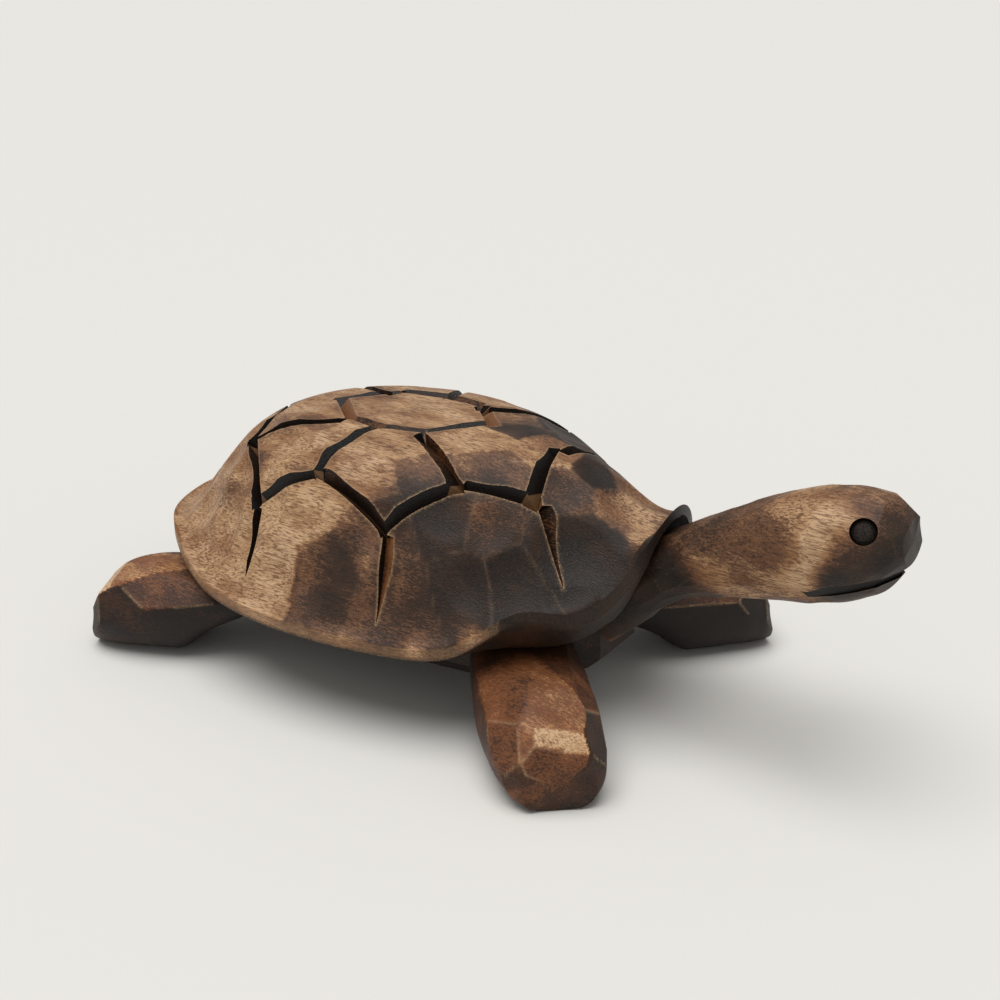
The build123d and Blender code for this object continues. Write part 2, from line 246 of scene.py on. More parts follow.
# %% The bare shell
AROUND, TOP_RINGS, FIRST_RING, JUST_INSIDE = 420, 96, 0.012, 0.9999
turn = np.linspace(0, 2 * np.pi, AROUND, endpoint=False)
along = np.where(np.cos(turn) > 0, SHELL_FRONT, SHELL_REAR) * np.cos(turn)
across = SHELL_HALF_WIDTH * np.sin(turn)
top_rings = [shell_point(s * along, s * across) for s in np.linspace(FIRST_RING, 1, TOP_RINGS)]
edge_top = shell_height(along, across)
edge_low = under_height(along * JUST_INSIDE, across * JUST_INSIDE)
edge_rings = [np.stack([along, across, edge_top + (edge_low - edge_top) * t], -1) for t in (0.33, 0.67, 1)]
low_rings = [np.stack([s * along, s * across, under_height(s * along, s * across)], -1)
             for s in (0.985, 0.96, 0.93, 0.9, 0.87, 0.84, 0.8, 0.6, 0.3, 0.1)]
shell = skin("carapace_carved", top_rings + edge_rings + low_rings,
             shell_point(np.float64(0), np.float64(0)), (0, 0, SEAT))
print("bare shell:", len(shell.data.polygons), "faces")

# %% [markdown]
# Gouge hollows on the shell. They are broad and shallow on the crown and shorter and deeper on the flank and
# brim, as the carver worked from the top down. A noise could dent the dome, but would leave no ridges, so
# each hollow is a ball that dips a set depth below the surface.

# %% Gouge hollows on the shell
# s, number of hollows round the shell, ball radius, depth
GOUGE_ROWS = [
    (0.0, 1, 90, 0.3), (0.2, 6, 70, 0.35), (0.4, 11, 50, 0.5), (0.58, 16, 34, 0.7), (0.73, 20, 25, 0.85),
    (0.86, 25, 19, 0.9),
]
# how far a hollow strays from an even place, round the shell and in s
STRAY_ROUND, STRAY_OUT = 0.28, 0.035
rng = np.random.default_rng(11)
gouge_spots, gouge_sizes = [], []
for s, number, radius, depth in GOUGE_ROWS:
    start = rng.uniform(0, 2 * np.pi)
    for k in range(number):
        angle = start + 2 * np.pi * (k + rng.uniform(-STRAY_ROUND, STRAY_ROUND)) / number
        share = s + rng.uniform(-STRAY_OUT, STRAY_OUT) * (s > 0)
        x = share * math.cos(angle) * (SHELL_FRONT if math.cos(angle) > 0 else SHELL_REAR)
        gouge_spots.append((x, share * math.sin(angle) * SHELL_HALF_WIDTH))
        gouge_sizes.append((radius * rng.uniform(0.85, 1.25), depth * rng.uniform(0.7, 1.35)))
gouge_radii, gouge_depths = np.array(gouge_sizes).T
gouge_spots = np.array(gouge_spots)
gouge_points = shell_point(gouge_spots[:, 0], gouge_spots[:, 1])
normals = shell_normal(gouge_spots[:, 0], gouge_spots[:, 1])
gouge_centres = gouge_points + normals * (gouge_radii - gouge_depths)[:, None]
points = points_of(shell)
on_top = np.zeros(len(points), bool)
on_top[:(TOP_RINGS - 1) * AROUND] = True
on_top[-2] = True  # the middle point of the crown
points[on_top], _, _ = scoop(points[on_top], gouge_centres, gouge_radii)
put_points(shell, points)
print("gouge hollows:", len(gouge_spots))

# %% [markdown]
# The scutes are parted by V-shaped knife cuts of one depth, which run out to a point only at the brim.
# They follow lines between corners on the dome, so Geometry Nodes make the tool: a line for each cut,
# a V-shaped section swept along it, and a scale that draws both ends up to a point.
# A Boolean modifier then takes the tool out of the shell, which leaves crisp walls.

# %% Corners and lines of the scutes
SHELL_LENGTH = SHELL_FRONT + SHELL_REAR
CORNERS = {
    "spine_rear": (-0.270, 0.0), "crown_rear": (-0.155, 0.0), "crown_front": (0.174, 0.0),
    "brow_spine": (0.318, 0.0), "crown_corner_rear": (-0.069, 0.222), "crown_side": (0.015, 0.267),
    "crown_corner_front": (0.100, 0.218), "brow_corner": (0.347, 0.322), "rear_upper": (-0.249, 0.378),
    "rear_lower": (-0.139, 0.711), "flank_upper": (-0.016, 0.635), "flank_lower": (0.137, 0.711),
    "shoulder": (0.237, 0.456), "rear_rim": (-0.108, 0.890), "flank_rim": (0.169, 0.900),
    "brow_rim": (0.424, 0.440),
}
CUTS = [
    ("spine_rear", "rear_upper"), ("crown_rear", "crown_corner_rear"), ("crown_corner_rear", "crown_side"),
    ("crown_side", "crown_corner_front"), ("crown_corner_front", "crown_front"),
    ("crown_corner_rear", "rear_upper"), ("rear_upper", "rear_lower"), ("rear_lower", "flank_upper"),
    ("flank_upper", "crown_side"), ("flank_upper", "flank_lower"), ("flank_lower", "shoulder"),
    ("shoulder", "crown_corner_front"), ("shoulder", "brow_corner"), ("brow_corner", "brow_spine"),
]
RIM_CUTS = [("rear_lower", "rear_rim"), ("flank_lower", "flank_rim"), ("brow_corner", "brow_rim")]
CUT_DEPTH, CUT_STEPS, TOOL_HEIGHT, TOOL_HALF_ANGLE = 3.3, 9, 7.0, 44.0


def corner(name, side):
    along_share, across_share = CORNERS[name]
    return np.float64(along_share * SHELL_LENGTH), np.float64(side * across_share * SHELL_HALF_WIDTH)


cut_lines = []
steps = np.linspace(0, 1, CUT_STEPS)
for side in (-1, 1):
    for first, second in CUTS + RIM_CUTS:
        start, end = np.array(corner(first, side)), np.array(corner(second, side))
        plan = start + (end - start) * steps[:, None]
        depth = CUT_DEPTH * (1 - steps**2 if (first, second) in RIM_CUTS else 1 + 0 * steps)
        out = shell_normal(plan[:, 0], plan[:, 1])
        bottoms = shell_point(plan[:, 0], plan[:, 1]) - out * depth[:, None]
        ahead = np.gradient(bottoms, axis=0)
        ahead /= np.linalg.norm(ahead, axis=1, keepdims=True)
        ups = out - ahead * (out * ahead).sum(1, keepdims=True)
        cut_lines.append((bottoms, ahead, ups / np.linalg.norm(ups, axis=1, keepdims=True)))
print("knife cuts:", len(cut_lines))

# %% [markdown]
# Finishes and tools below are node trees. A tree could be drawn by hand in the node editor. In a script, one
# small function that adds any node with its settings and links is enough, and a tree reads from top to end.


# %% One small function adds a node
def add(tree, kind, links=(), output=0, **settings):
    """Adds a node with its settings, fills or links its inputs, and returns one of its outputs."""
    node = tree.nodes.new(kind)
    for name, value in settings.items():
        setattr(node, name, value)
    for socket, value in links:
        if isinstance(value, bpy.types.NodeSocket):
            tree.links.new(value, node.inputs[socket])
        else:
            node.inputs[socket].default_value = value
    return node.outputs[output] if len(node.outputs) else None


# %% [markdown]
# The wood is close-grained hardwood, carved, scorched with a torch, brushed and oiled. Bare wood is tan with
# short dark flecks along the body. Scorching takes it through red-brown to charcoal with a speckled edge,
# because the soft grain burns first. Ridges and lips are rubbed pale, and the oil leaves a satin sheen.
# A painted picture could hold all that, but numbers on the points do it better here: one says how far the
# torch went (0 bare, 1 charcoal) and also holds painted shade under the brim, on the brim's edge over the
# neck, at the roots of the legs and on some leg flats; worn says where a ridge was rubbed, so the tone
# follows the tool marks.
# The noises only break up the edges. Flecks and fibres have the length of real ones. Their width and the soot
# grains are finer in life, and are drawn as coarse as they need to be to show.

# %% Colours and patterns of the wood
def linear(code):
    """An sRGB hex colour as linear red, green, blue and alpha."""
    parts = [int(code[k:k + 2], 16) / 255 for k in (1, 3, 5)]
    return tuple(p / 12.92 if p <= 0.04045 else ((p + 0.055) / 1.055) ** 2.4 for p in parts) + (1.0,)


# pattern: length along the grain and width across it in millimetres, detail
PATTERNS = {"figure": (24, 6, 3.0), "patch": (9, 5, 3.0), "fleck": (1.9, 0.36, 2.0), "fibre": (6, 0.24, 2.0),
            "speckle": (0.5, 0.32, 2.0)}
# how much each pattern raises or lowers the scorch, between two noise levels
BURN_STEPS = [("speckle", 0.3, 0.7, 0.09), ("patch", 0.32, 0.68, 0.12), ("fleck", 0.4, 0.65, 0.08)]
# pattern, from and to which level it grows, its full share, its colour
CARVED_LAYERS = [
    ("figure", 0.35, 0.65, 1.0, "#996d48"), ("burn_and_shade", 0.15, -0.12, 0.65, "#dfbc95"),
    ("patch", 0.48, 0.70, 0.3, "#85603f"), ("fibre", 0.44, 0.66, 0.65, "#7a5236"),
    ("fleck", 0.52, 0.64, 0.6, "#5c3c26"), ("burn_and_shade", 0.18, 0.42, 0.9, "#66432d"),
    ("burn_and_shade", 0.40, 0.64, 1.0, "#3b271a"), ("burn_and_shade", 0.64, 0.95, 1.0, "#1b120c"),
    # painted glint: pale grey specks on charcoal stand for light glancing off charred grain
    ("char_glint", 0.46, 0.66, 0.15, "#6b5f55"), ("rub", 0.0, 1.0, 1.0, "#c39d74"),
]
WARM_LAYERS = [
    ("figure", 0.35, 0.65, 1.0, "#a06a3d"), ("burn_and_shade", 0.14, -0.12, 0.8, "#e2bd93"),
    ("fibre", 0.42, 0.68, 0.6, "#774627"), ("fleck", 0.54, 0.66, 0.5, "#633c23"),
    ("burn_and_shade", 0.16, 0.40, 0.95, "#744528"), ("burn_and_shade", 0.42, 0.66, 1.0, "#432818"),
    ("burn_and_shade", 0.68, 0.95, 1.0, "#1f1611"), ("rub", 0.0, 1.0, 1.0, "#d2ac84"),
]
# the tone layers take the walls from brown to near black: scorch and painted shade in the groove
CUT_LAYERS = [
    ("fibre", 0.4, 0.7, 0.5, "#5d3820"), ("tone", 0.25, 0.6, 1.0, "#2a1a11"),
    ("tone", 0.55, 1.0, 1.0, "#0b0908"), ("crease", 0.9, 1.0, 0.5, "#9a7450"),
]
DOWEL_LAYERS = [("figure", 0.35, 0.65, 0.8, "#bf9666"), ("fleck", 0.55, 0.66, 0.5, "#9a7048")]


# %% One function for every wood
def wood(name, base, layers, extra_shade=0.0):
    """A wood from its bare colour and a table of layers laid over it."""
    material = bpy.data.materials.new(name)
    material.use_nodes = True
    tree = material.node_tree
    tree.nodes.clear()
    place = add(tree, "ShaderNodeTexCoord", output="Object")
    level = {key: add(tree, "ShaderNodeAttribute", output="Fac", attribute_name=key)
             for key in ("scorch_and_shade", "worn", "crease", "cut_scorch_and_shade")}
    for key, (long_mm, wide_mm, detail) in PATTERNS.items():
        scale = (1 / (long_mm * MM), 1 / (wide_mm * MM), 1 / (wide_mm * MM))
        spot = add(tree, "ShaderNodeMapping", [("Vector", place), ("Scale", scale)])
        level[key] = add(tree, "ShaderNodeTexNoise",
                         [("Vector", spot), ("Scale", 1.0), ("Detail", detail), ("Roughness", 0.55)])
    unevenness = 0.0
    for key, low, high, amount in BURN_STEPS:
        step = add(tree, "ShaderNodeMapRange", [("Value", level[key]), ("From Min", low), ("From Max", high),
                                                ("To Min", -amount), ("To Max", amount)])
        unevenness = add(tree, "ShaderNodeMath", [(0, unevenness), (1, step)], operation="ADD")
    # painted shade that darkens a whole wood is added to the scorch here
    burnt_and_shaded = add(tree, "ShaderNodeMath", [(0, level["scorch_and_shade"]), (1, extra_shade)], operation="ADD")
    level["burn_and_shade"] = add(tree, "ShaderNodeMath", [(0, burnt_and_shaded), (1, unevenness)], operation="ADD")
    level["tone"] = add(tree, "ShaderNodeMath", [(0, level["cut_scorch_and_shade"]), (1, unevenness)], operation="ADD")
    # painted glint: fine pale specks where the wood is darkest, for light glancing off charred grain
    level["char_glint"] = add(tree, "ShaderNodeMath", [(0, level["burn_and_shade"]), (1, level["speckle"])],
                       operation="MULTIPLY")
    patchy = add(tree, "ShaderNodeMapRange", [("Value", level["speckle"]), ("From Min", 0.35),
                                              ("From Max", 0.6), ("To Min", 0.3), ("To Max", 0.85)])
    level["rub"] = add(tree, "ShaderNodeMath", [(0, level["worn"]), (1, patchy)], operation="MULTIPLY")
    colour = linear(base)
    for key, low, high, full, code in layers:
        share = add(tree, "ShaderNodeMapRange", [("Value", level[key]), ("From Min", low), ("From Max", high),
                                                 ("To Max", full)], interpolation_type="SMOOTHSTEP")
        colour = add(tree, "ShaderNodeMix", [(0, share), (6, colour), (7, linear(code))],
                     output=2, data_type="RGBA")
    sheen = add(tree, "ShaderNodeMapRange", [("Value", level["burn_and_shade"]), ("From Min", 0.1), ("From Max", 0.9),
                                             ("To Min", 0.44), ("To Max", 0.5)])
    relief = add(tree, "ShaderNodeMath", [(0, level["fibre"]), (1, level["speckle"])], operation="ADD")
    bump = add(tree, "ShaderNodeBump", [("Height", relief), ("Strength", 0.6), ("Distance", 0.18 * MM)])
    surface = add(tree, "ShaderNodeBsdfPrincipled", [("Base Color", colour), ("Roughness", sheen),
                                                     ("Normal", bump), ("Specular IOR Level", 0.33)])
    add(tree, "ShaderNodeOutputMaterial", [("Surface", surface)])
    return material


# tan wood that goes through red-brown to charcoal, speckled at the edges, with a satin sheen, painted grey
# glint specks on the charcoal and, where the points say so, painted shade
carved = wood("carved hardwood, torch-scorched and oiled", "#c8a076", CARVED_LAYERS)
# the same wood with a warmer brown, where the torch passed quickly over the flats; on the legs it also
# carries painted light and shade
warm = wood("knife-pared hardwood, torch-browned and oiled", "#cf9f6c", WARM_LAYERS)
# brown to black walls, the black being scorch and painted shade, with a thin pale line where the knife met
# the bottom
knife_cut = wood("knife-cut hardwood, scorched in the groove", "#8c5b38", CUT_LAYERS)
# almost black, painted as the shade under the shell, and never rubbed
underside = wood("sawn hardwood, painted dark as shade", "#c8a076", WARM_LAYERS, extra_shade=0.9)
# pale and even, with fine short flecks
beech = wood("turned beech dowel", "#d0ab7c", DOWEL_LAYERS)
print("woods:", [material.name for material in (carved, warm, knife_cut, underside, beech)])

# %% [markdown]
# The knife is one node tree: it takes lines, sweeps a V-shaped section along each, scales it by a number on
# the line's points, and gives it the finish that the cut walls will have. The mouth uses the same tree later.

# %% The knife as a node tree
def knife_tree():
    tree = bpy.data.node_groups.new("knife_cuts", "GeometryNodeTree")
    tree.interface.new_socket("Geometry", in_out="INPUT", socket_type="NodeSocketGeometry")
    for name in ("Tool height", "Tool half width"):
        tree.interface.new_socket(name, in_out="INPUT", socket_type="NodeSocketFloat")
    tree.interface.new_socket("Finish", in_out="INPUT", socket_type="NodeSocketMaterial")
    tree.interface.new_socket("Geometry", in_out="OUTPUT", socket_type="NodeSocketGeometry")
    given = add(tree, "NodeGroupInput").node.outputs
    height, half = given["Tool height"], given["Tool half width"]
    minus_height = add(tree, "ShaderNodeMath", [(0, height), (1, -1.0)], operation="MULTIPLY")
    minus_half = add(tree, "ShaderNodeMath", [(0, half), (1, -1.0)], operation="MULTIPLY")
    tip = add(tree, "ShaderNodeCombineXYZ", [("Y", minus_height)])
    left = add(tree, "ShaderNodeCombineXYZ", [("X", minus_half)])
    right = add(tree, "ShaderNodeCombineXYZ", [("X", half)])
    section = add(tree, "GeometryNodeCurvePrimitiveQuadrilateral",
                  [("Point 1", tip), ("Point 2", right), ("Point 3", left), ("Point 4", tip)], mode="POINTS")
    up = add(tree, "GeometryNodeInputNamedAttribute", [("Name", "cut_up")], data_type="FLOAT_VECTOR")
    taper = add(tree, "GeometryNodeInputNamedAttribute", [("Name", "cut_scale")], data_type="FLOAT")
    line = add(tree, "GeometryNodeMeshToCurve", [("Mesh", given["Geometry"])])
    turned_line = add(tree, "GeometryNodeSetCurveNormal", [("Curve", line), ("Normal", up)], mode="FREE")
    swept = add(tree, "GeometryNodeCurveToMesh",
                [("Curve", turned_line), ("Profile Curve", section), ("Scale", taper), ("Fill Caps", True)])
    welded = add(tree, "GeometryNodeMergeByDistance", [("Geometry", swept), ("Distance", 1e-6)])
    whole = add(tree, "GeometryNodeRealizeInstances", [("Geometry", welded)])
    painted = add(tree, "GeometryNodeSetMaterial", [("Geometry", whole), ("Material", given["Finish"])])
    add(tree, "NodeGroupOutput", [("Geometry", painted)])
    return tree


knife_nodes = knife_tree()


def plain_mesh(piece):
    """Turns the evaluated piece into a plain mesh and drops its modifiers."""
    evaluated = piece.evaluated_get(bpy.context.evaluated_depsgraph_get())
    mesh = bpy.data.meshes.new_from_object(evaluated)
    piece.modifiers.clear()
    piece.data = mesh
    return piece


def knife_along(name, points, edges, ups, scales, height, half_width):
    """The knife's V swept along lines: points in millimetres, the way up and the scale at each point."""
    mesh = bpy.data.meshes.new(name)
    mesh.from_pydata(to_frame(points).tolist(), edges, [])
    mesh.attributes.new("cut_up", "FLOAT_VECTOR", "POINT").data.foreach_set("vector", np.ravel(ups))
    mesh.attributes.new("cut_scale", "FLOAT", "POINT").data.foreach_set("value", scales)
    tool = bpy.data.objects.new(name, mesh)
    bpy.context.scene.collection.objects.link(tool)
    sweep = tool.modifiers.new("knife", "NODES")
    sweep.node_group = knife_nodes
    values = {"Tool height": height * MM, "Tool half width": half_width * MM, "Finish": knife_cut}
    for item in knife_nodes.interface.items_tree:
        if item.in_out == "INPUT" and item.name in values:
            sweep[item.identifier] = values[item.name]
    plain_mesh(tool)
    outwards(tool.data)
    return tool


# %% Knife lines for the scutes
# past both ends of a cut the tool narrows to a point, over a share of its half width
HIP_SHARE, POINT_SCALE = 0.28, 0.002
half_width = TOOL_HEIGHT * math.tan(math.radians(TOOL_HALF_ANGLE))
hip = half_width * HIP_SHARE
line_points, line_edges, line_ups, line_scales = [], [], [], []
for bottoms, ahead, ups in cut_lines:
    base = len(line_points)
    low = np.vstack([bottoms[:1] - ahead[:1] * hip, bottoms, bottoms[-1:] + ahead[-1:] * hip])
    ups = np.vstack([ups[:1], ups, ups[-1:]])
    line_points += list(low + ups * TOOL_HEIGHT)
    line_edges += [(base + k, base + k + 1) for k in range(len(low) - 1)]
    line_ups += list(ups)
    line_scales += [POINT_SCALE] + [1.0] * len(bottoms) + [POINT_SCALE]
knife = knife_along("knife_lines", line_points, line_edges, line_ups, line_scales, TOOL_HEIGHT, half_width)
print("knife tool:", len(knife.data.polygons), "faces, box", [round(v / MM, 1) for v in knife.dimensions])

# %% [markdown]
# The cut itself. Where walls of several cuts meet, a Boolean leaves slivers, and these can leave a flap or a
# pinhole in the exported mesh. They could be mended by hand. Here a sweep after each cut merges points that
# nearly touch, removes parts of only a few faces, fills what is open and counts the edges still open.

# %% Cut the scutes
# metres within which points merge, faces below which a part is a crumb, number of merges
SLIVER, CRUMB, MERGES = 2e-6, 40, 3


def sweep_crumbs(mesh):
    """Merges slivers, removes crumbs and flaps, fills pinholes and returns the number of open edges."""
    work = bmesh.new()
    work.from_mesh(mesh)
    bmesh.ops.triangulate(work, faces=work.faces)
    for _ in range(MERGES):
        bmesh.ops.remove_doubles(work, verts=work.verts, dist=SLIVER)
        bmesh.ops.dissolve_degenerate(work, edges=work.edges, dist=SLIVER)
        bmesh.ops.triangulate(work, faces=work.faces)
    work.faces.index_update()
    waiting, crumbs = set(work.faces), []
    while waiting:
        part, fresh = [], [waiting.pop()]
        while fresh:
            face = fresh.pop()
            part.append(face)
            pairs = [edge.link_faces for edge in face.edges if len(edge.link_faces) == 2]
            near = {other for pair in pairs for other in pair} & waiting
            waiting -= near
            fresh += near
        if len(part) < CRUMB:
            crumbs += part
    crumbs.sort(key=lambda face: face.index)
    bmesh.ops.delete(work, geom=crumbs, context="FACES")
    bmesh.ops.delete(work, geom=[edge for edge in work.edges if not edge.link_faces], context="EDGES")
    bmesh.ops.holes_fill(work, edges=[edge for edge in work.edges if edge.is_boundary], sides=0)
    bmesh.ops.triangulate(work, faces=work.faces)
    open_edges = sum(len(edge.link_faces) != 2 for edge in work.edges)
    work.to_mesh(mesh)
    work.free()
    return open_edges


def take_out(piece, tool, self_crossing=False):
    """Cuts a tool out of a piece, leaves the tool's finish on the cut walls and removes the tool."""
    cut = piece.modifiers.new("cut", "BOOLEAN")
    cut.operation, cut.solver, cut.material_mode = "DIFFERENCE", "EXACT", "TRANSFER"
    cut.object, cut.use_self = tool, self_crossing
    plain_mesh(piece)
    bpy.data.objects.remove(tool)
    print("open edges after the cut:", sweep_crumbs(piece.data))
    return piece


shell.data.materials.append(carved)
take_out(shell, knife, self_crossing=True)
print("cut shell:", len(shell.data.vertices), "points, finishes", [m.name for m in shell.data.materials])

# %% [markdown]
# The neck passes through an oval slot in the front of the shell, with a close fit.
# The head's table of ovals is the CAD one, joined here by a smooth curve instead of flats.

# %% The neck's ovals and the slot
NECK_X, NECK_Z, REACH, RISE, HEAD_HEIGHT, HEAD_WIDTH = 55.7, 24.5, 61.8, 28.1, 24.0, 20.0
HEAD_AROUND, SLOT_AROUND, SLOT_GAP, SLOT_RUN = 144, 64, 0.5, 6
# shares of the reach, the rise, the head's height and its width
OVALS = np.array([
    (0.000, 0.000, 0.875, 0.95), (0.080, 0.135, 0.815, 0.90), (0.160, 0.270, 0.755, 0.85),
    (0.240, 0.400, 0.700, 0.80), (0.434, 0.605, 0.825, 0.84), (0.595, 0.737, 0.940, 0.93),
    (0.757, 0.836, 1.000, 1.00), (0.879, 0.904, 0.883, 0.94), (0.951, 0.950, 0.717, 0.78),
    (1.000, 1.000, 0.400, 0.50),
])


def smooth_table(table, places):
    """Reads the columns of a table at any place along its first column, on a smooth curve."""
    x = table[:, 0]
    slopes = np.gradient(table, x, axis=0)
    k = np.clip(np.searchsorted(x, places, side="right") - 1, 0, len(x) - 2)
    step = (x[k + 1] - x[k])[:, None]
    t = (places - x[k])[:, None] / step
    low, high, a, b = table[k], table[k + 1], slopes[k] * step, slopes[k + 1] * step
    return low + t * a + t**2 * (3 * (high - low) - 2 * a - b) + t**3 * (2 * (low - high) + a + b)


def oval_ring(row, gap=0.0, around=HEAD_AROUND):
    along_share, rise_share, height_share, width_share = row
    angle = np.linspace(0, 2 * np.pi, around, endpoint=False)
    half_high = height_share * HEAD_HEIGHT / 2 + gap
    half_wide = width_share * HEAD_WIDTH / 2 + gap
    return np.stack([np.full(around, NECK_X + along_share * REACH), half_wide * np.cos(angle),
                     NECK_Z + rise_share * RISE + half_high * np.sin(angle)], -1)


inner = oval_ring(OVALS[0], gap=SLOT_GAP, around=SLOT_AROUND)
outer = inner + np.array([OVALS[1, 0] * REACH, 0, OVALS[1, 1] * RISE]) * SLOT_RUN
slot_tool = skin("slot_tool", [inner, outer], inner.mean(0), outer.mean(0))
slot_tool.data.materials.append(knife_cut)
take_out(shell, slot_tool)
print("slotted shell:", len(shell.data.polygons), "faces")

# %% [markdown]
# Where the torch went on the shell. One noise could scatter the marks, but these follow the real figure: each
# has a middle on the shell, a radius and a strength, and the marks add up. On the far side the same marks are
# mirrored, moved and weaker, because a carver passes the torch over both sides in much the same way.

# %% Scorch marks on the shell
# x, y on the shell's plan, radius and strength; a strength below zero is a spot that stayed pale
SHELL_MARKS = [
    (11, -34, 4, 0.6), (10, -38, 6, 0.7), (8, -41, 4, 0.4), (19, -27, 6, 0.95), (26, -24, 4, 0.6),
    (26, -38, 7, 0.6), (34, -32, 8, 0.55), (28, -29, 7, 0.5), (40, -22, 7, 0.5), (-29, -28, 5, 0.42),
    (-21, -37, 4, 0.35), (-21, -24, 3, 0.35), (-17, -15, 4, 0.25), (-9, 4, 4, 0.45), (42, -28, 6, 0.5),
    (47, -24, 7, 0.5), (55, -22, 8, 0.8), (53, -29, 6, 0.7), (60, -16, 7, 0.85), (55, -14, 6, 0.6),
    (61, -9, 4, 0.6), (35, -15, 4, 0.5), (31, -6, 5, 0.4), (33, 6, 7, 0.6), (40, 11, 5, 0.6),
    (51, -5, 5, 0.5), (46, -11, 4, 0.55), (53, 0, 4, 0.55), (68, -4, 3, 0.7), (38, -35, 3, 0.3),
    (64, -8, 2.5, -1.3), (-38, -31, 5, -0.3), (-5, -38, 7, -0.2), (7, -25, 4, -0.3), (41, -35, 3, -0.7),
    (31, -39, 2.5, -0.3), (36, -30, 3, -0.25),
]
SHELL_BASE, MARK_SPREAD, HOLLOW_SHARE = 0.13, 0.8, 0.55
PALEST, DARKEST = -0.1, 0.88
# marks this far to the near side are repeated on the far side: moved, wider, weaker
NEAR_SIDE, FAR_SHIFT, FAR_WIDER, FAR_WEAKER = -3, 3, 1.1, 0.8


def scorch_of(points, marks, base):
    """Adds up soft round marks given by their middle, radius and strength."""
    total = np.full(len(points), float(base))
    for middle, radius, strength in marks:
        square = ((points - middle) ** 2).sum(1)
        total += strength * np.exp(-square / (2 * (radius * MARK_SPREAD) ** 2))
    return np.clip(total, PALEST, DARKEST)


marks = []
for x, y, radius, strength in SHELL_MARKS:
    marks.append((shell_point(np.float64(x), np.float64(y)), radius, strength))
    if y < NEAR_SIDE:
        far = shell_point(np.float64(x - FAR_SHIFT), np.float64(-y))
        marks.append((far, radius * FAR_WIDER, strength * FAR_WEAKER))


def cut_walls(piece):
    """For each face whether it is a cut wall, and for each point whether it is on a lip or in a crease."""
    mesh = piece.data
    wall = np.empty(len(mesh.polygons), np.int32)
    mesh.polygons.foreach_get("material_index", wall)
    counts = np.empty(len(mesh.polygons), np.int32)
    mesh.polygons.foreach_get("loop_total", counts)
    corners = np.empty(len(mesh.loops), np.int32)
    mesh.loops.foreach_get("vertex_index", corners)
    of_wall = np.repeat(wall > 0, counts)
    walls_at = np.bincount(corners, of_wall, len(mesh.vertices))
    others_at = np.bincount(corners, ~of_wall, len(mesh.vertices))
    return wall > 0, (walls_at > 0) & (others_at > 0), (walls_at > 0) & (others_at == 0)


def distance_to(points, spots):
    """How far each point is from the nearest of some spots."""
    tree = KDTree(len(spots))
    for k, spot in enumerate(spots):
        tree.insert(spot, k)
    tree.balance()
    return np.array([tree.find(point)[2] for point in points])


def fade(distance, width):
    """1 at no distance, falling evenly to 0 at the width."""
    return np.clip(1 - distance / width, 0, 1)


# %% Tone of the shell
# how far out the top of the shell ends, and the brim, its rubbed edge and the edge itself begin
TOP_TO, BRIM_FROM, RUBBED_AT, EDGE_FROM = 0.985, 0.975, 0.998, 0.999
# spread of tone between hollows, extra scorch beside a cut and its reach, painted shade on the brim's edge
# over the neck and under the brim
HOLLOW_SPREAD, LIP_SCORCH, LIP_REACH, NECK_EDGE_SHADE, UNDER_BRIM_SHADE = 0.12, 0.15, 1.5, 0.95, 0.78
# how pale ridges, lips and the edge of the brim are rubbed
RIDGE_RUB, LIP_RUB, EDGE_RUB = 0.3, 0.75, 0.6
points = points_of(shell)
wall, on_lip, in_crease = cut_walls(shell)
to_lip = distance_to(points, points[on_lip])
share = rim_share(points[:, 0], points[:, 1])
bearing = np.degrees(np.arctan2(points[:, 1], points[:, 0]))
above = points[:, 2] - under_height(points[:, 0], points[:, 1])
_, hollow, ridge = scoop(points, gouge_centres, gouge_radii, rounds=0)
rng = np.random.default_rng(17)
by_hollow = scorch_of(gouge_points, marks, SHELL_BASE) + rng.normal(0, HOLLOW_SPREAD, len(gouge_spots))
scorch_and_shade = HOLLOW_SHARE * by_hollow[hollow] + (1 - HOLLOW_SHARE) * scorch_of(points, marks, SHELL_BASE)
scorch_and_shade += LIP_SCORCH * np.exp(-((to_lip / LIP_REACH) ** 2))
scorch_and_shade = np.where(share > EDGE_FROM, np.clip(scorch_and_shade * 0.9, 0.3, 1), scorch_and_shade)
# painted shade: the brim's edge over the neck is made near black
scorch_and_shade = np.maximum(scorch_and_shade, NECK_EDGE_SHADE * np.exp(-((bearing / 30) ** 2)) * (share > BRIM_FROM))
# painted shade: the underside of the brim is made dark
scorch_and_shade = np.where(above < 0.05, np.maximum(scorch_and_shade, UNDER_BRIM_SHADE), scorch_and_shade)
on_top = (above > 1.5) & (share < TOP_TO)
worn = fade(ridge, 0.4) * RIDGE_RUB * on_top
worn = np.maximum(worn, fade(to_lip, 0.6) * LIP_RUB * on_top)
worn = np.maximum(worn, fade(np.abs(share - RUBBED_AT), 0.006) * EDGE_RUB * (np.abs(bearing) > 35))
put_attribute(shell, "scorch_and_shade", np.clip(scorch_and_shade, PALEST, 1))
put_attribute(shell, "worn", worn)
put_attribute(shell, "crease", in_crease)

# %% Tone of the cut walls
# the way a wall faces where it is lit and the torch missed it, and how tone changes with facing; walls turned
# away from it are darker, as scorch and painted shade
LIT_CLEAN_SIDE = np.array([-0.9, 0.3, 0.3])
WALL_MIDDLE, WALL_CONTRAST = 0.5, 0.85


